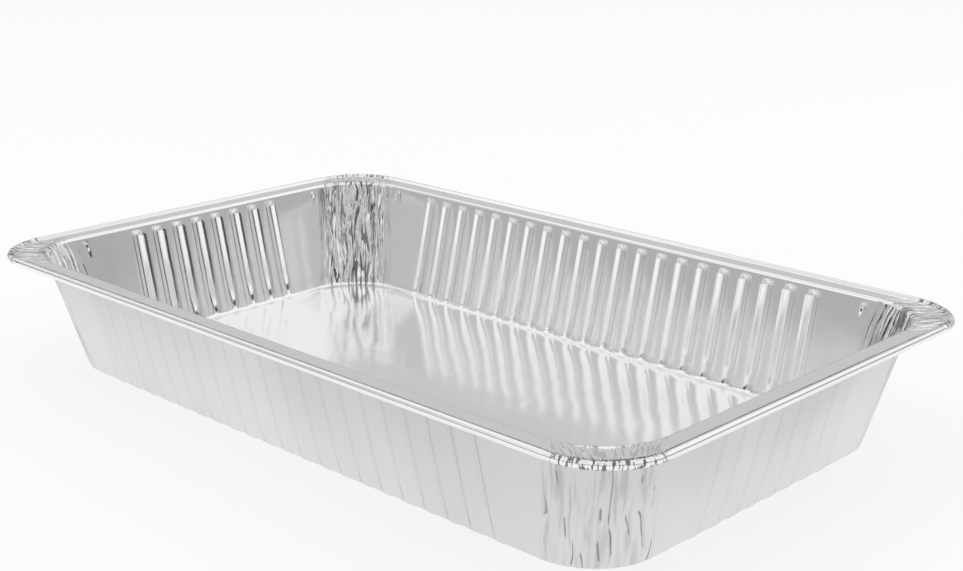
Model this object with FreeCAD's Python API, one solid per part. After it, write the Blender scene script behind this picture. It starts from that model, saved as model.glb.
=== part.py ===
"""Full-size deep foil roasting pan, pressed and gathered from one sheet of aluminium foil.

Frame: millimetres, +Z up, origin at the middle of the base, X along the pan.
The sheet has two skins one foil thickness apart: the food skin, which is the inside of the
tub and the top of the rim, and the outer skin. Each skin is laid in flats between courses,
rings of points with the same stations in every corner, and the two are sewn into one solid.
A reach is a distance in from the rim's outer edge, and a rise is a distance up the slope of
a wall from the base.
"""
import FreeCAD, Part
import math
import os
from FreeCAD import Vector

SIZES = {
    "length": 527.0,           # over the rolled rim, along X
    "breadth": 325.4,          # over the rolled rim, along Y
    "depth": 76.0,             # from the base to the top of the rolled rim
    "foil": 0.12,              # thickness of the sheet
    "rim_reach": 16.5,         # to the tub, at the level of the flange
    "foot_reach": 34.0,        # to the tub, at the level of the floor
    "rim_corner": 40.0,        # corner radius at the rim's outer edge
    "neck_corner": 42.0,       # corner radius of the tub below the flange
    "foot_corner": 40.0,       # corner radius of the tub above the floor
    "curl_size": 4.7,          # diameter of the rolled edge
    "curl_turn": 300.0,        # degrees that the roll goes round
    "flange_drop": 1.5,        # from the top of the roll down to the flange
    "neck_bend": 2.5,          # bend between tub and flange, food side
    "foot_bend": 3.0,          # bend between tub and floor, food side
    "long_flutes": 21,         # pressed outwards in each long wall
    "short_flutes": 8,         # pressed outwards in each short wall
    "long_plain": 25.05,       # from a corner to the middle of the end flute, long walls
    "short_plain": 31.5,       # the same in the short walls, measured at the foot
    "flute_width": 8.0,
    "flute_flat": 4.4,         # width of the flat at its bottom
    "flute_depth": 1.8,
    "flute_gap": 1.5,          # plain wall between a flute and the neck
    "lug_width": 3.0,          # small stops that keep nested pans apart
    "lug_flat": 1.2,
    "lug_depth": 0.9,
    "lug_length": 7.0,
    "lug_gap": 0.5,            # plain wall between a lug and the neck
    "lug_setback": 4.5,        # from the start of the corner to the middle of a lug
    "gathers": 10,             # folds in each corner of the tub
    "gather_depth": 1.0,
    "gather_knee": 0.62,       # share of the wall's height where the folds kink
    "pleats": 9,               # folds in each corner of the roll
    "pleat_depth": 0.35,
}

DOC = FreeCAD.newDocument("roasting_pan")


def fill_sheet(sizes):
    """Put each size in a cell of its own, with its name as the alias."""
    sheet = DOC.addObject("Spreadsheet::Sheet", "sizes")
    for row, (name, value) in enumerate(sizes.items(), start=1):
        sheet.set(f"A{row}", name)
        sheet.set(f"B{row}", str(value))
        sheet.setAlias(f"B{row}", name)
    DOC.recompute()
    return sheet


SHEET = fill_sheet(SIZES)


def size(name):
    return float(SHEET.get(name))


def count(name):
    return int(round(size(name)))


FOOD, OUTER = 0, 1             # the two skins
WALLS = {"back": (0, 1), "left": (-1, 0), "front": (0, -1), "right": (1, 0)}
FOOT_FLATS = 2                 # flats in the bend between floor and wall
NECK_FLATS = 3                 # flats in the bend between wall and flange
ROLL_TOP_FLATS = 2             # flats of the roll from the flange to its top
ROLL_SIDE_FLATS = 3            # from its top to its side
ROLL_UNDER_FLATS = 3           # from its side to its free end
ARCH_FLATS = 4                 # flats round the top of a flute
FOLD_SWELL = (0.65, 0.35)      # least share of a fold's depth, and how much it varies
FOLD_BEAT = (2.4, 5.0)         # how fast the depth varies from fold to fold, and with height
FLANGE_LEVEL = size("depth") - size("flange_drop")
LEAN = math.atan2(size("foot_reach") - size("rim_reach"), FLANGE_LEVEL - size("foil"))
BEND = math.pi / 2 - LEAN      # angle that the sheet turns at the foot and at the neck
NECK_TANGENT = size("neck_bend") * math.tan(BEND / 2)
FOOT_TANGENT = size("foot_bend") * math.tan(BEND / 2)
WALL_TOP = FLANGE_LEVEL - NECK_TANGENT - size("foil")
WALL_FOOT = size("foil") + FOOT_TANGENT + size("foil")
TOP_RISE = WALL_TOP / math.cos(LEAN)


def wall_reach(level, skin):
    """Reach of the straight wall at a level."""
    food_reach = size("rim_reach") + (FLANGE_LEVEL - level) * math.tan(LEAN)
    return food_reach - skin * size("foil") / math.cos(LEAN)


def no_move(station, facets):
    return 0.0


def course(reach, level, family, facets, push=no_move, lift=no_move):
    """The four corners of a ring of points at one reach and level, anticlockwise.

    A family is the reach and corner radius that its corners share a centre with. push and
    lift move a station of each corner out and up.
    """
    family_reach, family_radius = family
    centre_x = size("length") / 2 - family_reach - family_radius
    centre_y = size("breadth") / 2 - family_reach - family_radius
    radius = family_radius + family_reach - reach
    corners = []
    for quadrant, (side_x, side_y) in enumerate(((1, 1), (-1, 1), (-1, -1), (1, -1))):
        corner = []
        for station in range(facets + 1):
            angle = math.radians(90.0 * (quadrant + station / facets))
            out = radius + push(station, facets)
            corner.append(Vector(side_x * centre_x + out * math.cos(angle),
                                 side_y * centre_y + out * math.sin(angle),
                                 level + lift(station, facets)))
        corners.append(corner)
    return corners


def ring(corners, walls=((), (), (), ())):
    """One closed line of points; walls are the points between one corner and the next."""
    points = []
    for corner, wall in zip(corners, walls):
        points += corner + list(wall)
    return points


def flat_face(points, holes=()):
    """Flat face inside a closed line of points; holes run the same way round as the line."""
    wires = [Part.makePolygon(points + points[:1])]
    wires += [Part.makePolygon(hole[::-1] + hole[-1:]) for hole in holes]
    return Part.Face(wires)


def strip(low, high):
    """Faces between two lines of points: flat where four points allow it, else triangles."""
    faces = []
    for near in range(len(low) - 1):
        corners = [low[near], low[near + 1], high[near + 1], high[near]]
        normal = (corners[1] - corners[0]).cross(corners[3] - corners[0]).normalize()
        if abs(normal.dot(corners[2] - corners[0])) < 1e-6:
            faces.append(flat_face(corners))
        else:
            faces.append(flat_face([corners[0], corners[1], corners[2]]))
            faces.append(flat_face([corners[0], corners[2], corners[3]]))
    return faces


def ring_strips(rings):
    faces = []
    for low, high in zip(rings, rings[1:]):
        faces += strip(low + low[:1], high + high[:1])
    return faces


def foot_family():
    return wall_reach(WALL_FOOT, FOOD), size("foot_corner")


def neck_family():
    return wall_reach(WALL_TOP, FOOD), size("neck_corner")


def gather_push(share):
    """In-and-out of the corner folds at one height; the end stations stay on the wall."""
    least, swing = FOLD_SWELL
    by_fold, by_height = FOLD_BEAT

    def push(station, facets):
        if station in (0, facets):
            return 0.0
        swell = least + swing * math.cos(by_fold * station + by_height * share)
        return share * swell * size("gather_depth") * (1 if station % 2 else -1)
    return push


def gathered_courses(skin):
    """Corners of one skin from the top of the foot's bend to the foot of the neck's bend."""
    low_reach, low_radius = foot_family()
    high_reach, high_radius = neck_family()
    knee = size("gather_knee")
    courses = []
    for rise, fold in ((knee / 3, 0.7), (knee, 1.0), ((1 + 2 * knee) / 3, 0.8), (1.0, 0.0)):
        level = WALL_FOOT + rise * (WALL_TOP - WALL_FOOT)
        family = (low_reach + rise * (high_reach - low_reach),
                  low_radius + rise * (high_radius - low_radius))
        courses.append(course(wall_reach(level, skin), level, family, 2 * count("gathers"),
                              gather_push(fold)))
    return courses


def bend_steps(pivot_reach, pivot_level, radius, start, end, flats):
    """Reach and level at each end of the flats of a bend; angles from level outwards."""
    angles = [start + (end - start) * flat / flats for flat in range(flats + 1)]
    return [(pivot_reach - radius * math.cos(angle), pivot_level + radius * math.sin(angle))
            for angle in angles]


def foot_steps(skin):
    """Bend between floor and wall: its pivot is inside the pan."""
    radius = size("foot_bend") + skin * size("foil")
    pivot_level = size("foil") + size("foot_bend")
    pivot_reach = wall_reach(pivot_level, FOOD) + size("foot_bend") / math.cos(LEAN)
    return bend_steps(pivot_reach, pivot_level, radius, -math.pi / 2, -LEAN, FOOT_FLATS)


def neck_steps(skin):
    """Bend between wall and flange: its pivot is outside the pan."""
    radius = size("neck_bend") - skin * size("foil")
    pivot_level = FLANGE_LEVEL - size("neck_bend")
    pivot_reach = wall_reach(pivot_level, FOOD) - size("neck_bend") / math.cos(LEAN)
    return bend_steps(pivot_reach, pivot_level, radius, math.pi - LEAN, math.pi / 2, NECK_FLATS)


def side_point(wall, along, reach, level):
    """Point of a straight side: along it anticlockwise from its middle, at a reach and level."""
    out_x, out_y = WALLS[wall]
    out = size("length" if out_x else "breadth") / 2 - reach
    return Vector(out_x * out - out_y * along, out_y * out + out_x * along, level)


def slope_point(wall, along, rise, skin, depth):
    """Point at a rise up a wall's slope, pressed out square to the wall by a depth."""
    level = (rise * math.cos(LEAN)
             + ((OUTER - skin) * size("foil") - depth) * math.sin(LEAN))
    return side_point(wall, along, wall_reach(level, skin) - depth / math.cos(LEAN), level)


def half_widths(kind, skin):
    """Half the width of a press at the wall and at its flat, one skin inside the other."""
    wide, flat = size(kind + "_width") / 2, size(kind + "_flat") / 2
    flank = math.atan2(size(kind + "_depth"), wide - flat)
    nested = (OUTER - skin) * size("foil") * math.tan(flank / 2)
    return wide - nested, flat - nested


def flute_middles(wall):
    """Places along a wall of its flutes, evenly spread between its plain ends."""
    kind, span = ("short", "breadth") if WALLS[wall][0] else ("long", "length")
    last = size(span) / 2 - sum(foot_family()) - size(kind + "_plain")
    copies = count(kind + "_flutes")
    return [last * (2 * copy / (copies - 1) - 1) for copy in range(copies)]


def flute_feet(wall, skin, reach, level):
    """Points of one straight side where the flutes run down through the foot's bend."""
    wide, flat = half_widths("flute", skin)
    pressed = reach - size("flute_depth") / math.cos(LEAN)
    feet = []
    for middle in flute_middles(wall):
        feet += [side_point(wall, middle - wide, reach, level),
                 side_point(wall, middle - flat, pressed, level),
                 side_point(wall, middle + flat, pressed, level),
                 side_point(wall, middle + wide, reach, level)]
    return feet


def foot_rings(skin):
    """Corners and side points of each ring of the foot's bend, from the floor up."""
    rings = []
    for reach, level in foot_steps(skin):
        corners = course(reach, level, foot_family(), 2 * count("gathers"))
        sides = [flute_feet(wall, skin, reach, level) for wall in WALLS]
        rings.append((corners, sides))
    return rings


def flute_arch(wall, middle, half_width, skin, depth):
    """Rounded top of a flute, from one edge over to the other."""
    centre_rise = TOP_RISE - size("flute_gap") - size("flute_width") / 2
    turns = [math.pi * flat / ARCH_FLATS for flat in range(ARCH_FLATS + 1)]
    return [slope_point(wall, middle - half_width * math.cos(turn),
                        centre_rise + half_width * math.sin(turn), skin, depth)
            for turn in turns]


def lug_outline(wall, middle, inset, half_width, skin, depth):
    """Four corners of a lug at the wall or at its flat."""
    high = TOP_RISE - size("lug_gap") - inset
    low = TOP_RISE - size("lug_gap") - size("lug_length") + inset
    return [slope_point(wall, middle + side * half_width, rise, skin, depth)
            for side, rise in ((-1, low), (1, low), (1, high), (-1, high))]


def side_faces(wall, skin, feet, start_edge, end_edge):
    """Plain wall between the flutes, and the flutes and lugs pressed out of it.

    start_edge and end_edge are the points where the wall meets its corners, from the foot up.
    """
    wide, flat = half_widths("flute", skin)
    outline, faces = [start_edge[0]], []
    for copy, middle in enumerate(flute_middles(wall)):
        left, left_flat, right_flat, right = feet[4 * copy:4 * copy + 4]
        rim = [left] + flute_arch(wall, middle, wide, skin, 0.0) + [right]
        bottom = [left_flat] + flute_arch(wall, middle, flat, skin, size("flute_depth"))
        bottom.append(right_flat)
        faces += strip(rim, bottom) + [flat_face(bottom)]
        outline += rim
    lug_wide, lug_flat = half_widths("lug", skin)
    half = size("breadth" if WALLS[wall][0] else "length") / 2
    spread = half - sum(neck_family()) - size("lug_setback")
    lugs = []
    for middle in (-spread, spread):
        foot = lug_outline(wall, middle, 0.0, lug_wide, skin, 0.0)
        top = lug_outline(wall, middle, lug_wide - lug_flat, lug_flat, skin, size("lug_depth"))
        faces += ring_strips([foot, top]) + [flat_face(top)]
        lugs.append(foot)
    return faces + [flat_face(outline + end_edge + start_edge[:0:-1], lugs)]


def tub_faces(skin):
    """Floor, foot bend, gathered corners and fluted walls of one skin."""
    rings = foot_rings(skin)
    closed = [ring(corners, sides) for corners, sides in rings]
    faces = [flat_face(closed[0])] + ring_strips(closed)
    top_corners, top_feet = rings[-1]
    courses = [top_corners] + gathered_courses(skin)
    for corner in range(4):
        for low, high in zip(courses, courses[1:]):
            faces += strip(low[corner], high[corner])
        start_edge = [level[corner][-1] for level in courses]
        end_edge = [level[(corner + 1) % 4][0] for level in courses]
        faces += side_faces(list(WALLS)[corner], skin, top_feet[corner], start_edge, end_edge)
    return faces


def curl_rings(skin):
    """Rings of the rolled edge: from the flange over the top, and round to its free end."""
    radius = size("curl_size") / 2 - skin * size("foil")
    pivot_level = size("depth") - size("curl_size") / 2
    flange_rise = FLANGE_LEVEL - skin * size("foil") - pivot_level
    flats_each = (ROLL_TOP_FLATS, ROLL_SIDE_FLATS, ROLL_UNDER_FLATS)
    rings = []
    for flat in range(sum(flats_each) + 1):

        def rolled(station):
            """Radius and angle of the roll at a station: every second one is a pleat."""
            tight = radius - (size("pleat_depth") if station % 2 else 0.0)
            quarters = [math.pi - math.asin(flange_rise / tight), math.pi / 2, 0.0,
                        math.pi - math.radians(size("curl_turn"))]
            angles = [start + (end - start) * step / flats
                      for start, end, flats in zip(quarters, quarters[1:], flats_each)
                      for step in range(flats)]
            return tight, (angles + quarters[-1:])[flat]

        def lift(station, facets):
            tight, angle = rolled(station)
            return tight * math.sin(angle)

        def push(station, facets):
            tight, angle = rolled(station)
            return tight * math.cos(angle)

        rings.append(ring(course(size("curl_size") / 2, pivot_level,
                                 (0.0, size("rim_corner")), 2 * count("pleats"), push, lift)))
    return rings


def skin_faces(skin):
    """One skin, from the middle of the floor out to the free end of the roll."""
    neck = [ring(gathered_courses(skin)[-1])]
    neck += [ring(course(reach, level, neck_family(), 2 * count("gathers")))
             for reach, level in neck_steps(skin)]
    curl = curl_rings(skin)
    return (tub_faces(skin) + ring_strips(neck) + [flat_face(curl[0], [neck[-1]])]
            + ring_strips(curl))


def pan_solid():
    """The whole sheet, sewn from its two skins and the cut edge of the roll."""
    cut_edge = ring_strips([curl_rings(FOOD)[-1], curl_rings(OUTER)[-1]])
    sheet = Part.makeCompound(skin_faces(FOOD) + skin_faces(OUTER) + cut_edge)
    sheet.sewShape()
    solid = Part.Solid(sheet.Shells[0])
    if solid.Volume < 0:
        solid.reverse()
    return solid


# A foil sheet pressed into flutes and gathered into folds has no primitive or sketched
# feature of its own, so its skins are laid and sewn face by face.
PAN = DOC.addObject("Part::Feature", "pan")
PAN.Shape = pan_solid()
PAN.Placement = FreeCAD.Placement()
PAN.Label = "pan"
DOC.recompute()
for item in DOC.Objects:
    if "Invalid" in item.State or "Error" in item.State:
        raise RuntimeError(f"{item.Label} failed: {item.State}")
if PAN.Shape.isNull() or not PAN.Shape.isValid() or not PAN.Shape.isClosed():
    raise RuntimeError("the pan's shape is not a valid closed solid")
os.makedirs("parts", exist_ok=True)
PAN.Shape.exportStep(f"parts/{PAN.Label}.step")
box = PAN.Shape.BoundBox
corners = (box.XMin, box.XMax, box.YMin, box.YMax, box.ZMin, box.ZMax)
print("solids", len(PAN.Shape.Solids), "volume", round(PAN.Shape.Volume, 1))
print("faces", len(PAN.Shape.Faces), "box", [round(value, 3) for value in corners])
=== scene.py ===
# %% [markdown]
# # A deep foil roasting pan
#
# The pan is one sheet of aluminium foil, 0.12 mm thick. A press draws the tub, the sheet
# gathers into folds at the four corners, flutes stiffen the walls, and the edge is rolled
# round so that the rim doesn't cut or bend. This lesson builds that sheet as one closed mesh
# of two skins, then gives it the two faces of real foil: satin outside, bright inside.
# The frame comes first: it holds the pan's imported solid, its size and its place.

# %% The frame
import math

import bpy
import numpy as np
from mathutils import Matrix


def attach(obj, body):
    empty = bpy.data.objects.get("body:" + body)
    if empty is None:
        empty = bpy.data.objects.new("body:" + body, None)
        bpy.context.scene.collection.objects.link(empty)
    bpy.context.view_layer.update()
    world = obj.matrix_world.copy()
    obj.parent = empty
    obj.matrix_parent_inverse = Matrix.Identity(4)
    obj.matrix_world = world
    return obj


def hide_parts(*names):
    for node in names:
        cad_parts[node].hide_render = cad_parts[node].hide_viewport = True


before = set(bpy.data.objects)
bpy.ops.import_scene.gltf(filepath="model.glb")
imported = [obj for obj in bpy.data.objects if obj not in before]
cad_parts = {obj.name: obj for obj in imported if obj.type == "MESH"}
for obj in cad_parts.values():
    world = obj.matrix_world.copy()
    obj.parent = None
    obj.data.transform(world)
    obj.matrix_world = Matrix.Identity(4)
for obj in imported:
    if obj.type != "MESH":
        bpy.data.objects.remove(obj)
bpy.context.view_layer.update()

# %% [markdown]
# ## The pan's sizes
#
# Everything is in metres. A reach is a distance in from the outer edge of the rim, so one
# profile of reach and height serves all four sides. The corners' centres move: wide apart
# at the rim and closer together at the floor, as the walls lean.

# %% Sizes
MM = 0.001
HALF = np.array([263.5, 162.7]) * MM       # half the length and half the breadth
DEPTH = 76.0 * MM
FOIL = 0.12 * MM
FLANGE = DEPTH - 1.5 * MM                  # level of the flat between wall and roll
RIM_REACH, FOOT_REACH = 16.5 * MM, 34.0 * MM
NECK_BEND, FOOT_BEND, ROLL = 2.5 * MM, 3.0 * MM, 2.35 * MM
LEAN = math.atan2(FOOT_REACH - RIM_REACH, FLANGE - FOIL)
FLUTES = {"long": 21, "short": 8}
PITCH, FLUTE_WIDTH, FLUTE_DEPTH = 16.5 * MM, 8.0 * MM, 1.8 * MM
print("walls lean", round(math.degrees(LEAN), 2), "degrees")


def wall_reach(level):
    """Reach of a wall's food side: the rim's reach plus the drop times the lean's tangent."""
    return RIM_REACH + (FLANGE - level) * math.tan(LEAN)


# %% [markdown]
# ## The profile
#
# Cut the sheet with a knife from the middle of a side to the edge and this line is what
# shows: up round the foot, up the wall, out round the neck, across the flange and round the
# roll. Arcs and straight runs are enough, each sampled as finely as its shape asks. The
# wall has closer rows near its top, where the flutes end in rounded caps.

# %% The profile from the floor to the end of the roll
FOOT_STEPS, NECK_STEPS, FLANGE_ROWS, ROLL_STEPS = 3, 5, 3, 11
WALL_ROWS, CAP_ROWS = 17, 7
WALL_TO = 66.2 * MM                        # level at which the even rows of the wall end
CAPS_FROM, CAPS_TO = 66.9, 71.6            # levels of the close rows in mm
ROLL_END = -120.0                          # degrees at which the roll stops, underneath


def arc(reach, level, radius, start, end, steps):
    """Points of an arc about (reach, level); angles in degrees from level outwards."""
    turn = np.radians(np.linspace(start, end, steps + 1))
    return np.column_stack([reach - radius * np.cos(turn), level + radius * np.sin(turn)])


lean = math.degrees(LEAN)
foot_level, neck_level, roll_level = FOIL + FOOT_BEND, FLANGE - NECK_BEND, DEPTH - ROLL
foot = arc(wall_reach(foot_level) + FOOT_BEND / math.cos(LEAN), foot_level, FOOT_BEND,
           -90.0, -lean, FOOT_STEPS)
neck = arc(wall_reach(neck_level) - NECK_BEND / math.cos(LEAN), neck_level, NECK_BEND,
           180.0 - lean, 90.0, NECK_STEPS)
levels = np.concatenate([np.linspace(foot[-1, 1], WALL_TO, WALL_ROWS)[1:],
                         np.linspace(CAPS_FROM, CAPS_TO, CAP_ROWS) * MM])
wall = np.column_stack([wall_reach(levels), levels])
roll_start = 180.0 - math.degrees(math.asin((FLANGE - roll_level) / ROLL))
roll = arc(ROLL, roll_level, ROLL, roll_start, ROLL_END, ROLL_STEPS)
flange_reach = np.linspace(neck[-1, 0], roll[0, 0], FLANGE_ROWS + 2)[1:-1]
flange = np.column_stack([flange_reach, np.full(FLANGE_ROWS, FLANGE)])
PROFILE = np.vstack([foot, wall, neck, flange, roll])
PARTS = np.repeat(np.arange(5), [len(foot), len(wall), len(neck), len(flange), len(roll)])
WALL, NECK, FLAT, CURL = range(1, 5)       # the foot is part 0
RUN = np.concatenate([[0.0], np.cumsum(np.hypot(*np.diff(PROFILE, axis=0).T))])
print("profile rows", len(PROFILE), "length in mm", round(RUN[-1] / MM, 1))

# %% [markdown]
# ## The way round the pan
#
# Every row of the profile is carried once round the pan. The columns sit where the shape
# changes: eight on the flanks of each flute, a few on the plain foil beside the corners,
# with close ones at the small nesting stops, and many in each corner, where the foil is
# crumpled. A column is a place along a side, or an angle in a corner.

# %% The columns of one side
CORNER_STEPS = 88
FLANKS = np.array([-4.3, -3.9, -2.2, -1.7, 1.7, 2.2, 3.9, 4.3]) * MM
FLUTES_END = 6.0 * MM                      # from the middle of the last flute to plain foil
STOP_SETBACK = 4.5 * MM                    # from the corner's start to a stop's middle
STOP_COLUMNS = np.array([-2.7, -1.6, -0.8, 0.8, 1.6, 2.7]) * MM


def flute_middles(count):
    """Places of the flutes' middles: whole pitches, as many on each side of the centre."""
    return (np.arange(count) - (count - 1) / 2) * PITCH


def side_columns(count, corner):
    """Places along one side: flute flanks, middles between flutes, and the plain ends."""
    middles = flute_middles(count)
    flanks = (middles[:, None] + FLANKS).ravel()
    between = (middles[1:] + middles[:-1]) / 2
    near_stop = corner - STOP_SETBACK + STOP_COLUMNS
    plain = np.linspace(middles[-1] + FLUTES_END, near_stop[0], 4)[:-1]
    plain = np.concatenate([plain, near_stop])
    return np.sort(np.concatenate([flanks, between, plain, -plain]))


print("columns of a long side", len(side_columns(FLUTES["long"], HALF[0] - FOOT_REACH)))

# %% The columns all round
WALL_FROM, WALL_UP = 2.6 * MM, 69.8 * MM   # where the plain wall starts, and its height
NECK_INSET = wall_reach(WALL_FROM + WALL_UP) + 42.0 * MM
FOOT_INSET = wall_reach(WALL_FROM) + 40.0 * MM
RIM_INSET = 40.0 * MM                      # insets: from the rim's edge to a corner's centre
top_centre = HALF - NECK_INSET
columns = []                               # side or corner number, corner?, place or angle
for quarter in range(4):
    turn = np.linspace(90.0 * quarter, 90.0 * quarter + 90.0, CORNER_STEPS + 1)
    columns.append(np.column_stack([np.full(turn.size, quarter), np.ones(turn.size), turn]))
    kind, corner = (("long", top_centre[0]), ("short", top_centre[1]))[quarter % 2]
    places = side_columns(FLUTES[kind], corner)
    columns.append(np.column_stack([np.full(places.size, quarter), np.zeros(places.size),
                                    places]))
COLUMNS = np.vstack(columns)
QUARTER, IN_CORNER, PLACE = COLUMNS[:, 0].astype(int), COLUMNS[:, 1] > 0.5, COLUMNS[:, 2]
rows, cols = len(PROFILE), len(COLUMNS)
print("columns", cols, "rows", rows)

# %% [markdown]
# ## Presses and folds
#
# What the press does to the plain wall is a push, straight out from the wall: rounded flutes,
# small stops under the flange, and the folds of the corners. Where the foil is drawn in from
# a flat sheet, a corner has too much of it, and the spare foil gathers into upright folds
# that kink part of the way up. No two folds are alike, so their places and depths come from
# smooth waves of several lengths and from seeded random numbers.

# %% The push of the flutes and stops
CAP = 69.0 * MM                            # rise at which a flute's rounded top begins
FLUTE_EDGE = FLUTE_WIDTH / 2 + 0.15 * MM
FLUTE_FLANK = 2.3 * MM                     # width over which a flank slopes
FOOT_SHARE, FOOT_RISE = 0.35, 18.0 * MM    # share of its depth at the foot; full at this rise
STOP_DEPTH, STOP_HALF, STOP_SLOPE = 0.5 * MM, 1.6 * MM, 0.8 * MM
STOP_MIDDLE, STOP_TALL, STOP_END = 69.6 * MM, 3.4 * MM, 2.2 * MM


def ease(value):
    """Smooth step: 0 below 0, 1 above 1, with level ends."""
    value = np.clip(value, 0.0, 1.0)
    return value * value * (3.0 - 2.0 * value)


def flute_push(place, rise, count):
    """Depth of the flutes: full inside a rounded outline, none at its edge, less at the foot.

    The flank is part straight slope and part smooth step, so its edges are soft but clear.
    """
    across = np.abs(place[..., None] - flute_middles(count)).min(-1)
    over = np.maximum(rise - CAP, 0.0)
    flank = np.clip((FLUTE_EDGE - np.hypot(across, over)) / FLUTE_FLANK, 0.0, 1.0)
    grown = FOOT_SHARE + (1.0 - FOOT_SHARE) * ease(rise / FOOT_RISE)
    return FLUTE_DEPTH * (0.65 * flank + 0.35 * ease(flank)) * grown


def stop_push(place, rise, middle):
    """Depth of the two nesting stops of a side, upright bumps just under the neck."""
    across = (STOP_HALF - np.abs(np.abs(place) - middle)) / STOP_SLOPE
    along = (STOP_TALL - np.abs(rise - STOP_MIDDLE)) / STOP_END
    return STOP_DEPTH * np.clip(across, 0.0, 1.0) * ease(along)


deep = [float(flute_push(np.zeros(1), up * MM, 1)[0]) / MM for up in (2, 10, 40)]
print("depth of a flute in mm, 2, 10 and 40 mm up", np.round(deep, 2))

# %% The push of the folds
RIGHT_ANGLE = math.pi / 2
CORNER_FADE = 0.14                         # radians over which the folds start and end
FOLD_GAPS = [1, 2, 2, 3, 3, 4]             # columns from a crest to the next valley
FOLD_DEPTH = 0.40 * MM                     # of a fold that is one column wide


def corner_fade(turn):
    """Share of the folding at an angle in a corner: none at its ends, full past the fade."""
    return ease(np.minimum(turn, RIGHT_ANGLE - turn) / CORNER_FADE)


def corner_folds(up, seed):
    """Folds of one corner: the push in metres and the sideways lean in radians.

    Crests and valleys take turns at uneven columns and the foil is flat between them, so
    the folds run along the columns. They are deepest in the corner's middle. Each crest
    swells and sinks up the wall, and all the columns lean to and fro together, which gives
    the kinks.
    """
    random = np.random.default_rng(seed)
    gaps = random.choice(FOLD_GAPS, CORNER_STEPS)
    crests = np.concatenate([[0], np.cumsum(gaps)])
    crests = np.append(crests[crests < CORNER_STEPS - 1], CORNER_STEPS)
    middling = np.exp(-((crests / CORNER_STEPS - 0.5) / 0.24) ** 2)
    height = FOLD_DEPTH * np.gradient(crests.astype(float)) ** 0.7 * (0.22 + 0.78 * middling)
    height = height * random.uniform(0.35, 1.0, crests.size)
    height[1::2] *= -1.0
    beat, phase = random.uniform(0.4, 1.5, crests.size), random.uniform(0.0, 6.28, crests.size)
    height = height * (0.62 + 0.38 * np.sin(6.28 * beat * up[:, None] + phase))
    column = np.arange(CORNER_STEPS + 1)
    after = np.clip(np.searchsorted(crests, column), 1, crests.size - 1)
    share = (column - crests[after - 1]) / (crests[after] - crests[after - 1])
    push = height[:, after - 1] * (1.0 - share) + height[:, after] * share
    turn = column / CORNER_STEPS * RIGHT_ANGLE
    start = random.uniform(0.0, 6.28, 4)
    zigzag = np.abs((1.55 * up[:, None] + 0.22 * np.sin(3.0 * turn + start[0])) % 1.0 - 0.5)
    leaning = (0.085 * (zigzag - 0.25)
               + 0.016 * np.sin(12.0 * turn + start[1] + 5.0 * up[:, None])
               + 0.010 * np.sin(27.0 * turn + start[2] - 9.0 * up[:, None]))
    return push * corner_fade(turn), leaning * corner_fade(turn)


def fold_depth(up):
    """How deep the folds are up the wall: none at the foot, then full, and less at the neck."""
    return ease(up / 0.22) * (1.0 - 0.45 * ease((up - 0.85) / 0.15))


sample = corner_folds(np.linspace(0.0, 1.0, 9), 20)[0]
print("folds of one corner in mm", round(sample.min() / MM, 2), round(sample.max() / MM, 2))

# %% [markdown]
# ## The food side of the sheet
#
# A side's point is its reach in from the edge and its place along the side. A corner's point
# is on a circle about the corner's centre. Both become one array of rows and columns.
# The push goes out square to the wall, the pleats of the roll shrink its radius a little,
# and the flange is never quite flat.

# %% Where each row and column lies on the plain sheet
wall_share = np.clip((PROFILE[:, 1] - WALL_FROM) / WALL_UP, 0.0, 1.0)
flat_share = np.clip((neck[-1, 0] - PROFILE[:, 0]) / (neck[-1, 0] - roll[0, 0]), 0.0, 1.0)
inset = np.where(PARTS >= FLAT, NECK_INSET + (RIM_INSET - NECK_INSET) * flat_share,
                 FOOT_INSET + (NECK_INSET - FOOT_INSET) * wall_share)[:, None]
rise = (PROFILE[:, 1] / math.cos(LEAN))[:, None]

OUT = np.array([[0, 1], [-1, 0], [0, -1], [1, 0]], float)
TANGENT = np.array([[-1, 0], [0, -1], [1, 0], [0, 1]], float)
CORNER = np.array([[1, 1], [-1, 1], [-1, -1], [1, -1]], float)
on_long = QUARTER % 2 == 0
half_out = np.where(on_long, HALF[1], HALF[0])
half_along = np.where(on_long, HALF[0], HALF[1])
flutes_end = (np.where(on_long, FLUTES["long"], FLUTES["short"]) - 1) / 2 * PITCH + FLUTES_END
plain_at_top = half_along - NECK_INSET - flutes_end
stretch = np.clip((np.abs(PLACE) - flutes_end) / plain_at_top, 0.0, None)
place = np.where(stretch > 0.0,
                 np.sign(PLACE) * (flutes_end + stretch * (half_along - inset - flutes_end)),
                 PLACE)
print("plain foil beside the flutes in mm", np.round(np.unique(plain_at_top) / MM, 1))

# %% The push at each row and column
push, sideways = np.zeros((rows, cols)), np.zeros((rows, cols))
for kind, amount in FLUTES.items():
    of_kind = ~IN_CORNER & (on_long == (kind == "long"))
    pressed = flute_push(PLACE[None, of_kind], rise, amount)
    middle = (HALF[0] if kind == "long" else HALF[1]) - NECK_INSET - STOP_SETBACK
    pressed = pressed + stop_push(PLACE[None, of_kind], rise, middle)
    push[:, of_kind] = pressed * (PARTS <= WALL)[:, None]

up = np.clip(PROFILE[:, 1] / FLANGE, 0.0, 1.0)
depth = np.where(PARTS <= NECK, fold_depth(up), 0.0)[:, None]
for quarter in range(4):
    here = IN_CORNER & (QUARTER == quarter)
    folds, leaning = corner_folds(up, 20 + quarter)
    push[:, here] = folds * depth
    sideways[:, here] = leaning * (ease(up / 0.12) * ease((1.0 - up) / 0.08))[:, None]
print("deepest push in mm", round(push.max() / MM, 2), "furthest in", round(push.min() / MM, 2))

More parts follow.
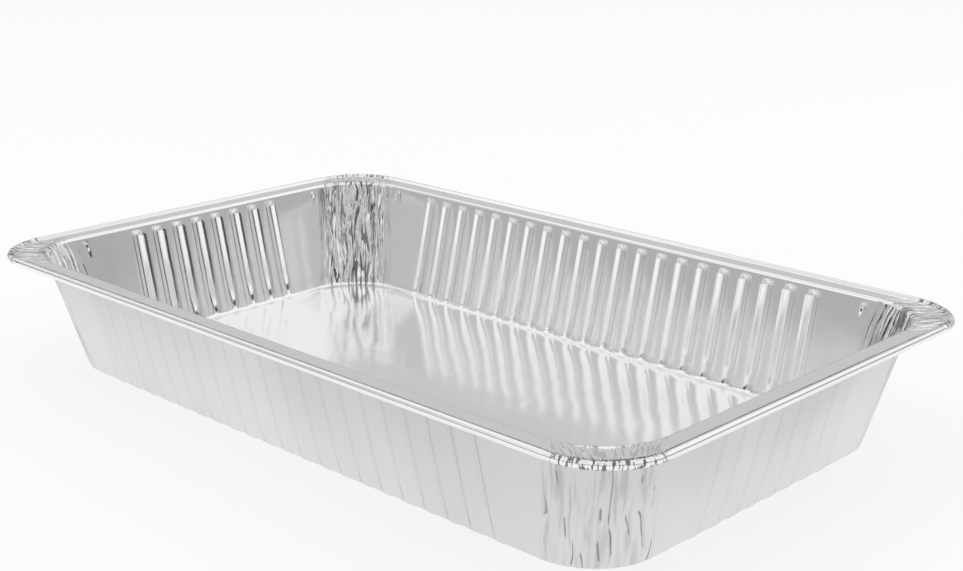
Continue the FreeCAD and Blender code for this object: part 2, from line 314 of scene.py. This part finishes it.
# %% The roll and the flange, never quite even
PLEAT, CRUSH = 0.34 * MM, 0.38 * MM        # of the roll, and of the flange in the corners
WAVE, WAVE_MOST = 0.10 * MM, 0.35 * MM     # of the flange, and the most it may rise
rng = np.random.default_rng(7)
ripple = rng.uniform(0.0, 1.0, cols)
pleat = np.where(IN_CORNER, 0.08 + 0.92 * ripple ** 1.6, 0.05 * ripple) * PLEAT
on_roll, on_flange = (PARTS == CURL)[:, None], (PARTS == FLAT)[:, None]
angle = np.arctan2(PROFILE[:, 1] - roll_level, ROLL - PROFILE[:, 0])[:, None]
tight = ROLL - pleat[None, :]
reach = np.where(on_roll, ROLL - tight * np.cos(angle), PROFILE[:, :1])
level = np.where(on_roll, roll_level + tight * np.sin(angle), PROFILE[:, 1:])
way = np.arange(1, cols + 1) / cols * 2 * math.pi
wave = (0.5 * np.sin(31 * way + 1.0) + 0.35 * np.sin(53 * way + 2.0)
        + 0.3 * np.sin(17 * way) + 0.25 * np.sin(97 * way + 0.4))
crush = np.where(IN_CORNER, rng.uniform(-1, 1, cols) * CRUSH, 0.0)
lift = (WAVE * wave + crush)[None, :] * np.sin(np.pi * flat_share)[:, None] ** 0.5
level = level + np.where(on_flange, np.minimum(lift, WAVE_MOST), 0.0)
print("deepest pleat in mm", round(pleat.max() / MM, 2))

# %% Rows and columns become points
FLOOR_INSET = 2.5 * MM                     # from the foot's first row to the floor's edge
corner_angle = np.radians(PLACE) + sideways
ray = np.stack([np.cos(corner_angle), np.sin(corner_angle)], -1)
side_xy = (OUT[QUARTER][None] * (half_out[:, None] - reach[..., None])
           + TANGENT[QUARTER][None] * place[..., None])
centre_xy = CORNER[QUARTER][None] * (HALF - inset[..., None])
corner_xy = centre_xy + ray * (inset - reach)[..., None]
xy = np.where(IN_CORNER[None, :, None], corner_xy, side_xy)
outward = np.where(IN_CORNER[None, :, None], ray, OUT[QUARTER][None])
FLOOR_EDGE = xy[0] - outward[0] * FLOOR_INSET
xy = xy + outward * (push / math.cos(LEAN))[..., None]
FOOD_SKIN = np.concatenate([xy, level[..., None]], axis=-1)
print("food skin", FOOD_SKIN.shape)

# %% [markdown]
# ## The outer side and the floor
#
# The outer skin is the food skin moved down or out by the foil's thickness, square to the
# plain profile, so that sharp folds can't make the two skins cross. The floor is rings that
# shrink towards the middle, with fewer and fewer points, and a last fan. It has the slight
# swells that thin foil keeps from the press.

# %% The outer skin
def skin_shift():
    """Step from the food skin to the outer one: across the plain profile, away from food.

    The profile runs (outwards, up); its step turned a quarter to the right points away.
    """
    run = np.gradient(PROFILE * [-1.0, 1.0], axis=0)
    run = run / np.hypot(*run.T)[:, None]
    run[0] = [1.0, 0.0]
    out, over = run[:, 1], -run[:, 0]
    flat_part = outward * out[:, None, None]
    return FOIL * np.concatenate([flat_part, np.broadcast_to(over[:, None, None],
                                                             (rows, cols, 1))], axis=-1)


OUTER_SKIN = FOOD_SKIN + skin_shift()
print("outer skin's lowest point in mm", round(OUTER_SKIN[..., 2].min() / MM, 3))

# %% The rings of the floor
FLOOR_STEPS = [(0.965, 400), (0.90, 200), (0.80, 200), (0.66, 160), (0.50, 120), (0.34, 80),
               (0.18, 48)]                 # share of the way out, and points of the ring


def zip_rings(outer, inner):
    """Triangles between two rings of point numbers, the inner one with fewer points.

    Each outer step makes a triangle with its mate, the inner point at the same share of the
    way round. Where the mate moves on, a second triangle closes the gap.
    """
    outer, inner = np.asarray(outer), np.asarray(inner)
    many, few = outer.size, inner.size
    step = np.arange(many)
    mate = (step * few) // many
    following = ((step + 1) * few) // many
    shared = np.column_stack([outer, outer[(step + 1) % many], inner[mate]])
    closing = np.column_stack([outer[(step + 1) % many], inner[following % few],
                               inner[mate]])[following > mate]
    return np.vstack([shared, closing])


def floor_points():
    """Rings of the floor: its plain edge scaled towards the middle, with slight swells."""
    edge = np.column_stack([FLOOR_EDGE, np.full(cols, FOIL)])
    made = [edge]
    for share, amount in FLOOR_STEPS:
        pick = (np.arange(amount) * cols) // amount
        made.append(edge[pick] * [share, share, 1.0])
    made.append(np.array([[0.0, 0.0, FOIL]]))
    points = np.vstack(made)
    inside = 1.0 - np.max(np.abs(points[:, :2]) / np.abs(edge[:, :2]).max(0), axis=1)
    swell = (0.22 * np.sin(points[:, 0] * 38 + 1) * np.sin(points[:, 1] * 47 + 2)
             + 0.35 + 0.12 * np.sin(points[:, 0] * 91 + points[:, 1] * 57)) * MM
    points[:, 2] += swell * ease(inside / 0.12)
    return points, [len(part) for part in made]


GROUND, RINGS = floor_points()
print("floor rings", RINGS)


# %% The closed mesh of the sheet
def floor_triangles(first, base, flip):
    """Triangles from a skin's first row through the rings to the fan in the middle."""
    ring, start, made = np.arange(cols) + first, base, []
    for amount in RINGS:
        inner = np.arange(amount) + start
        triangles = zip_rings(ring, inner) if amount > 1 else np.column_stack(
            [ring, np.roll(ring, -1), np.full(ring.size, start)])
        made.append(triangles[:, ::-1] if flip else triangles)
        ring, start = inner, start + amount
    return made


def sheet_mesh():
    """Two skins, the strip that joins them at the cut edge, and both floors."""
    points = np.vstack([FOOD_SKIN.reshape(-1, 3), OUTER_SKIN.reshape(-1, 3), GROUND,
                        GROUND - [0, 0, FOIL]])
    grid = np.arange(rows * cols).reshape(rows, cols)
    ahead = np.roll(grid, -1, axis=1)
    quads = np.stack([grid[:-1], grid[1:], ahead[1:], ahead[:-1]], -1).reshape(-1, 4)
    back = quads[:, [0, 3, 2, 1]] + rows * cols    # same diagonals, so the skins can't cross
    last = grid[-1]
    cut = np.column_stack([last, last + rows * cols, np.roll(last, -1) + rows * cols,
                           np.roll(last, -1)])
    base = 2 * rows * cols
    floors = (floor_triangles(0, base, False)
              + floor_triangles(rows * cols, base + len(GROUND), True))
    return points, np.vstack([quads, back, cut]), np.vstack(floors)


POINTS, QUADS, TRIANGLES = sheet_mesh()
flats = np.vstack([QUADS[:, [0, 1, 2]], QUADS[:, [0, 2, 3]], TRIANGLES])
first, second, third = (POINTS[flats[:, side]] for side in range(3))
volume = np.einsum("ij,ij->i", first, np.cross(second, third)).sum() / 6
print("points", len(POINTS), "as triangles", len(flats), "volume in mm3", round(volume * 1e9))


# %% The object
def foil_object(name, points, quads, triangles):
    """A smooth mesh object at the origin from arrays of points, quads and triangles."""
    mesh = bpy.data.meshes.new(name)
    corners = np.concatenate([quads.ravel(), triangles.ravel()]).astype(np.int32)
    sides = np.concatenate([np.full(len(quads), 4), np.full(len(triangles), 3)])
    mesh.vertices.add(len(points))
    mesh.vertices.foreach_set("co", points.astype(np.float32).ravel())
    mesh.loops.add(corners.size)
    mesh.loops.foreach_set("vertex_index", corners)
    mesh.polygons.add(sides.size)
    starts = np.concatenate([[0], np.cumsum(sides)[:-1]]).astype(np.int32)
    mesh.polygons.foreach_set("loop_start", starts)
    mesh.polygons.foreach_set("use_smooth", np.ones(sides.size, bool))
    mesh.update(calc_edges=True)
    mesh.validate()
    made = bpy.data.objects.new(name, mesh)
    bpy.context.scene.collection.objects.link(made)
    return made


PAN = foil_object("foil_pan", POINTS, QUADS, TRIANGLES)
print("pan made with", len(PAN.data.polygons), "faces")


# %% [markdown]
# ## Where the foil is bright, satin and creased
#
# Foil has a bright face and a satin one, and it is crumpled only in the corners. Five masks
# on the mesh carry that, each from 0 to 1: bright on the food side, creased on the corners'
# walls, dense in the middle of each corner, pleated on the rim of the corners, and flank on
# one side of each flute, where the satin face gets painted shade. A map along the sheet, in
# metres, lets the creases run up the wall whichever way it faces.

# %% The masks
DENSE_WIDTH = 0.40                         # radians from a corner's middle
FLANGE_PLEATED = 0.55                      # the flange's share of the rim's pleats
FLANK_SLOPE = 1.2                          # a slope times this is a full flank mask


def spread(food, outer, food_floor=0.0, outer_floor=0.0):
    """One value per vertex: a grid for each skin, then one value for each floor."""
    return np.concatenate([food.ravel(), outer.ravel(), np.full(len(GROUND), food_floor),
                           np.full(len(GROUND), outer_floor)])


ones = np.ones((rows, cols))
turn = np.radians(PLACE - 90.0 * QUARTER)
corner_share = np.where(IN_CORNER, corner_fade(turn), 0.0) * ones
middle_share = corner_share * np.exp(-((turn - RIGHT_ANGLE / 2) / DENSE_WIDTH) ** 2)
on_tub = (PARTS <= NECK)[:, None]
on_rim = np.where(PARTS == CURL, 1.0, np.where(PARTS == FLAT, FLANGE_PLEATED, 0.0))[:, None]
# painted shade goes on one flank of each flute: where the push rises along a long side, where
# it falls along a short one
slope = np.gradient(push, axis=1) / np.maximum(np.gradient(PLACE), 0.1 * MM)
slope = np.where(on_long, slope, -slope) * ~IN_CORNER
MASKS = {"bright": spread(ones, 0 * ones, 1.0, 0.0)}
for name, grid in (("creased", corner_share * on_tub), ("pleated", corner_share * on_rim),
                   ("dense", middle_share * on_tub),
                   ("flank", np.clip(slope * FLANK_SLOPE, 0.0, 1.0))):
    MASKS[name] = spread(grid, grid)
for name, values in MASKS.items():
    PAN.data.attributes.new(name, "FLOAT", "POINT").data.foreach_set(
        "value", values.astype(np.float32))
print("masks and their means", {name: round(mask.mean(), 3) for name, mask in MASKS.items()})

# %% The map along the sheet
MAP_ROW = 20                               # the row, near the top of the wall, that is measured
measured = FOOD_SKIN[MAP_ROW, :, :2]
step = np.hypot(*(np.roll(measured, -1, axis=0) - measured).T)
round_way = np.concatenate([[0.0], np.cumsum(step)[:-1]])
along_map = np.stack([np.broadcast_to(round_way, (rows, cols)),
                      np.broadcast_to(RUN[:, None], (rows, cols))], -1).reshape(-1, 2)
vertex_map = np.vstack([along_map, along_map, POINTS[2 * rows * cols:, :2]])
loop_vertex = np.empty(len(PAN.data.loops), np.int32)
PAN.data.loops.foreach_get("vertex_index", loop_vertex)
PAN.data.uv_layers.new(name="sheet").data.foreach_set(
    "uv", vertex_map.astype(np.float32)[loop_vertex].ravel())
print("map round the pan in mm", round(round_way[-1] / MM))


# %% [markdown]
# ## Shader sums
#
# A material is a sum of fields: noise, lines and masks. The small class below wraps a socket,
# so that a sum is written as a sum and adds its Math nodes by itself.

# %% A socket that can be added and multiplied
class Field:
    """A shader socket with arithmetic; any operand may be a number or another field."""

    def __init__(self, tree, socket):
        self.tree, self.socket = tree, socket

    def node(self, kind, settings=(), output=0, **inputs):
        """Add a node: settings first, then the values or links of its sockets.

        A socket goes by its name, with _ for a space, or by its place, as i0, i1 and so on.
        """
        made = self.tree.nodes.new(kind)
        for name, value in dict(settings).items():
            setattr(made, name, value)
        for name, value in inputs.items():
            by_place = name[0] == "i" and name[1:].isdigit()
            socket = made.inputs[int(name[1:]) if by_place else name.replace("_", " ")]
            if isinstance(value, Field):
                self.tree.links.new(value.socket, socket)
            else:
                socket.default_value = value
        return Field(self.tree, made.outputs[output])

    def math(self, operation, *values):
        """Add a Math node of an operation on values or fields."""
        return self.node("ShaderNodeMath", {"operation": operation},
                         **{f"i{place}": value for place, value in enumerate(values)})

    def __add__(self, other):
        return self.math("ADD", self, other)

    def __sub__(self, other):
        return self.math("SUBTRACT", self, other)

    def __rsub__(self, other):
        return self.math("SUBTRACT", other, self)

    def __mul__(self, other):
        return self.math("MULTIPLY", self, other)

    __radd__, __rmul__ = __add__, __mul__


def new_material(name):
    """An empty material with its output; gives the material and a field to start from."""
    material = bpy.data.materials.new(name)
    material.use_nodes = True
    material.node_tree.nodes.clear()
    output = material.node_tree.nodes.new("ShaderNodeOutputMaterial")
    return material, Field(material.node_tree, output.inputs["Surface"])


def finish_material(field, shader):
    """Link the last shader to the output that the material started from."""
    field.tree.links.new(shader.socket, field.socket)


foil, f = new_material("foil")
print("a material starts with", len(foil.node_tree.nodes), "node")

# %% [markdown]
# ## The foil
#
# Aluminium foil is nearly a mirror. What makes it look like foil is how its surface
# wanders: strokes drawn out up the wall, broad shallow dents, fine lines from rolling, and
# sharp little creases in the corners. All of them are height fields for one Bump node. The
# satin face is rougher and a shade greyer than the bright face, and darker in broad random
# clouds. Where foil is folded shut no light comes back, so painted shade darkens the colour
# in the corners' fold lines, shut folds and rim pleats; painted shade also darkens one flank
# of each flute, the folds of the corners' outer side, and the outer side towards its top.

# %% The masks, the map and the patterns that run on them
def mask(field, name):
    """A mask from the mesh, from 0 to 1."""
    return field.node("ShaderNodeAttribute", {"attribute_name": name}, output=2)


def strokes(field, drawn_out, scale, detail, **settings):
    """Noise on the map along the sheet; a small share of its height draws it out upwards."""
    run = field.node("ShaderNodeVectorMath", {"operation": "MULTIPLY"}, i0=sheet_map,
                     i1=(1.0, drawn_out, 1.0))
    return field.node("ShaderNodeTexNoise", {"noise_dimensions": "2D"}, Vector=run,
                      Scale=scale, Detail=detail, **settings)


def fold_lines(across, spacing, width, strength):
    """Upright lines at a spacing: the strength less the distance off a line over its width.

    A line is as wide as its mask is strong, so its ends taper.
    """
    part = across.math("FRACT", across * (1.0 / spacing))
    off = part.math("ABSOLUTE", part - 0.5)
    return off.math("MAXIMUM", strength - off * (spacing / width), 0.0)


def past(noise, start, width):
    """Patches where a noise is past a start, with soft edges of a width."""
    return noise.node("ShaderNodeMapRange", {"interpolation_type": "SMOOTHSTEP"}, Value=noise,
                      From_Min=start, From_Max=start + width)


bright_face, crumple, pleats = mask(f, "bright"), mask(f, "creased"), mask(f, "pleated")
dense, flank = mask(f, "dense"), mask(f, "flank")
place_xyz = f.node("ShaderNodeTexCoord", output=3)
sheet_map = f.node("ShaderNodeUVMap", {"uv_map": "sheet"})
print("foil nodes so far", len(foil.node_tree.nodes))

# %% The folds and lines as heights
LINE_SPACING, LINE_WIDTH = 7.1 * MM, 0.80 * MM
LINE_WANDER = 14.0 * MM                    # how far a fold line strays from upright
BUMP_DEPTH = 1.1 * MM                      # metres for a height of 1

long_folds = strokes(f, 0.09, 330.0, 2.0, Roughness=0.5, Distortion=0.3)
zigzag = strokes(f, 0.12, 400.0, 1.0, Roughness=0.5, Distortion=0.25)
wander = strokes(f, 0.30, 64.0, 2.0, Roughness=0.4)
where_cut = strokes(f, 0.50, 95.0, 1.0)
across_way = f.node("ShaderNodeSeparateXYZ", Vector=sheet_map) + wander * LINE_WANDER
fold_line = fold_lines(across_way, LINE_SPACING, LINE_WIDTH,
                       past(where_cut, 0.52, 0.12)) * crumple
ticks = strokes(f, 0.22, 620.0, 1.0, Roughness=0.6)
dents = f.node("ShaderNodeTexNoise", Vector=place_xyz, Scale=34.0, Detail=1.0)
rolled = f.node("ShaderNodeVectorMath", {"operation": "MULTIPLY"}, i0=place_xyz,
                i1=(0.06, 1.0, 1.0))
lines = f.node("ShaderNodeTexNoise", Vector=rolled, Scale=2600.0, Detail=2.0)
folds = (long_folds * (0.45 + bright_face * (dense * 0.60 - 0.10))
         + zigzag * bright_face * dense * 0.70)
height = (folds * crumple - fold_line * 0.30 + dents * 0.30 + lines * 0.006
          + ticks * pleats * 0.7)
bump = f.node("ShaderNodeBump", Strength=1.0, Distance=BUMP_DEPTH, Height=height)
print("foil nodes so far", len(foil.node_tree.nodes))

# %% The tone, the painted shade and the polish of the two faces
SATIN, BRIGHT = (0.82, 0.825, 0.83, 1.0), (0.91, 0.915, 0.92, 1.0)
SHADE_AND_TONE_GREY = (0.10, 0.10, 0.105, 1.0)            # painted shade in folds, pleats, flanks and the wall's top; random darker clouds too

# painted shade: dark ticks in the pleats of the rim in the corners
pleat_shade = past(ticks, 0.55, 0.04) * pleats * pleats
# painted shade: dark zigzag folds in the middle of each corner, on the bright face
shut_fold_shade = past(zigzag, 0.555, 0.035) * dense * bright_face
clouds = f.node("ShaderNodeTexNoise", Vector=place_xyz, Scale=9.0, Detail=1.0)
height_up = f.node("ShaderNodeSeparateXYZ", output=2, Vector=place_xyz)
# painted shade on the satin face: corner folds, one flute flank, darker towards the top; random
# darker clouds too
painted_shade_and_tone = (past(long_folds, 0.44, 0.26) * crumple * 0.20 + flank * 0.55
        + past(clouds, 0.38, 0.34) * 0.11 + past(height_up, 0.010, 0.060) * 0.13)
painted_shade_and_tone = painted_shade_and_tone * (1.0 - bright_face)
# painted shade along the corners' fold lines and in the rim's pleat ticks
drawn = fold_line.math("MAXIMUM", fold_line * 0.80, pleat_shade * 0.88)
dark = drawn.math("MAXIMUM", drawn, shut_fold_shade * 0.85 + painted_shade_and_tone)
face = f.node("ShaderNodeMix", {"data_type": "RGBA"}, output=2, Factor=bright_face,
              A=SATIN, B=BRIGHT)
toned = f.node("ShaderNodeMix", {"data_type": "RGBA"}, output=2, Factor=dark, A=face, B=SHADE_AND_TONE_GREY)
smudge = f.node("ShaderNodeTexNoise", Vector=place_xyz, Scale=60.0, Detail=3.0)
roughness = 0.27 - bright_face * 0.17 + smudge * 0.05
metal = f.node("ShaderNodeBsdfPrincipled", Base_Color=toned, Metallic=1.0,
               Roughness=roughness, Normal=bump)
finish_material(f, metal)
print("foil nodes", len(foil.node_tree.nodes))

# %% The pan takes its foil and its place in the frame
PAN.data.materials.append(foil)
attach(PAN, "root")
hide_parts("pan")
print("pan rides on root and replaces the node pan")

# %% [markdown]
# ## The studio
#
# The pan stands on a pale floor in a white room. Bright metal shows its room, so the room
# is part of the picture: white all round, grey boards that keep the foil from turning
# white, and a few dark boards and slats that draw the dark strokes in it. Only reflections
# see the boards. Two soft lamps give the floor its shadow, and reflections don't see them.

# %% The floor
FLOOR_LEVEL = -0.2 * MM                    # just under the pan, so no two faces share a plane
FLOOR_SIDE = 6
FLOOR_WHITE = 0.80                         # the room's share in what is seen of the floor


def white_room(field, shader, share):
    """Mix a shader with plain white, by a share, for rays that see the background."""
    path = field.tree.nodes.new("ShaderNodeLightPath")
    seen = (Field(field.tree, path.outputs["Is Camera Ray"])
            + Field(field.tree, path.outputs["Is Glossy Ray"])
            + Field(field.tree, path.outputs["Is Transmission Ray"]))
    glow = field.node("ShaderNodeEmission", Color=(1.0, 1.0, 1.0, 1.0), Strength=1.0)
    return field.node("ShaderNodeMixShader", i0=seen * share, i1=shader, i2=glow)


def flat_board(name, corners):
    """A flat piece of the stage with one face on its corners."""
    mesh = bpy.data.meshes.new(name)
    mesh.from_pydata(corners, [], [range(len(corners))])
    made = bpy.data.objects.new(name, mesh)
    bpy.context.scene.collection.objects.link(made)
    return made


SQUARE = ((-1, -1), (1, -1), (1, 1), (-1, 1))
floor = flat_board("floor", [(x * FLOOR_SIDE, y * FLOOR_SIDE, FLOOR_LEVEL) for x, y in SQUARE])
floor_paint, f = new_material("pale_floor")
matt = f.node("ShaderNodeBsdfDiffuse", Color=(0.86, 0.86, 0.86, 1.0))
finish_material(f, white_room(f, matt, FLOOR_WHITE))
floor.data.materials.append(floor_paint)
print("floor", 2 * FLOOR_SIDE, "m wide")

# %% The boards
AIM = np.array([0, 0, 0.03])               # the middle of the pan, which boards and lamps face
GREY, DARK = 0.46, 0.04
BOARDS = {                                 # azimuth, elevation, distance, width, height, shade
    "grey_board_left": (-132.0, 13.0, 2.4, 2.4, 0.9, GREY),
    "dark_board_left": (-160.0, 9.0, 2.2, 0.7, 0.6, DARK),
    "grey_board_right": (45.0, 13.0, 2.4, 2.2, 0.9, GREY),
    "dark_board_right": (22.0, 9.0, 2.2, 0.5, 0.6, DARK),
    "grey_board_back": (134.0, 23.0, 2.5, 3.6, 1.3, 0.60),
    "grey_board_high": (-150.0, 36.0, 2.5, 1.1, 0.9, 0.62),
    "grey_board_front": (-48.0, 31.0, 2.2, 3.0, 1.0, 0.58),
    "grey_board_top": (-45.0, 90.0, 2.2, 2.4, 2.4, 0.80),
    "dark_board_back": (135.0, 4.0, 2.6, 3.6, 0.22, DARK),
    "dark_slat_0": (-88.0, 14.0, 2.1, 0.46, 1.1, DARK),
    "dark_slat_1": (-3.0, 14.0, 2.1, 0.46, 1.1, DARK),
}


def board_at(name, azimuth, elevation, distance, width, height, shade):
    """A board that faces the pan from an azimuth and elevation in degrees."""
    a, e = math.radians(azimuth), math.radians(elevation)
    to_board = np.array([math.cos(e) * math.cos(a), math.cos(e) * math.sin(a), math.sin(e)])
    side = np.array([-math.sin(a), math.cos(a), 0.0])
    over = np.cross(to_board, side)
    middle = to_board * distance + AIM
    board = flat_board(name, [tuple(middle + side * width / 2 * x + over * height / 2 * y)
                              for x, y in SQUARE])
    paint, field = new_material(name + "_card")
    finish_material(field, field.node("ShaderNodeEmission", Color=(shade, shade, shade, 1.0),
                                      Strength=1.0))
    board.data.materials.append(paint)
    board.visible_camera = False
    board.visible_diffuse = False
    board.visible_shadow = False


for name, setting in BOARDS.items():
    board_at(name, *setting)
print("boards", len(BOARDS))


# %% Lamps and the world
def soft_lamp(name, place, power, width):
    """A square area lamp that looks at the pan."""
    data = bpy.data.lights.new(name, "AREA")
    data.energy, data.shape, data.size = power, "SQUARE", width
    lamp = bpy.data.objects.new(name, data)
    lamp.location = place
    away = np.array(place) - AIM
    lamp.rotation_euler = (math.atan2(np.hypot(*away[:2]), away[2]), 0.0,
                           math.atan2(away[1], away[0]) + math.pi / 2)
    lamp.visible_glossy = False
    bpy.context.scene.collection.objects.link(lamp)
    return lamp


lamps = [soft_lamp("key_lamp", (-1.2, -1.0, 1.9), 12.0, 1.0),
         soft_lamp("back_lamp", (0.6, 1.6, 1.5), 8.0, 0.9)]
world = bpy.data.worlds.new("white_room")
world.use_nodes = True
world.node_tree.nodes.clear()
out = world.node_tree.nodes.new("ShaderNodeOutputWorld")
w = Field(world.node_tree, out.inputs["Surface"])
plain = w.node("ShaderNodeBackground", Color=(1.0, 1.0, 1.0, 1.0), Strength=0.80)
finish_material(w, white_room(w, plain, 1.0))
bpy.context.scene.world = world
print("lamps in watts", [lamp.data.energy for lamp in lamps])

# %% [markdown]
# ## The camera
#
# The viewpoint is worked out from the photograph's corners: a little above the rim, off the
# near corner. The lens is given on a 36 mm wide sensor, so it doesn't depend on the picture's
# pixels.

# %% The camera
CAMERA_PLACE = (0.6549, -0.6485, 0.3502)
LOOKS_DOWN, LOOKS_ROUND = 16.87, 44.07     # degrees below level, and round from the pan's Y
camera_data = bpy.data.cameras.new("camera")
camera_data.sensor_fit, camera_data.sensor_width = "HORIZONTAL", 36.0
camera_data.lens = 59.3
camera_data.clip_start = 0.01
camera = bpy.data.objects.new("camera", camera_data)
camera.location = CAMERA_PLACE
camera.rotation_euler = (math.radians(90.0 - LOOKS_DOWN), 0.0, math.radians(LOOKS_ROUND))
bpy.context.scene.collection.objects.link(camera)
bpy.context.scene.camera = camera
bpy.context.scene.view_settings.view_transform = "Standard"
print("camera lens in mm", camera_data.lens)
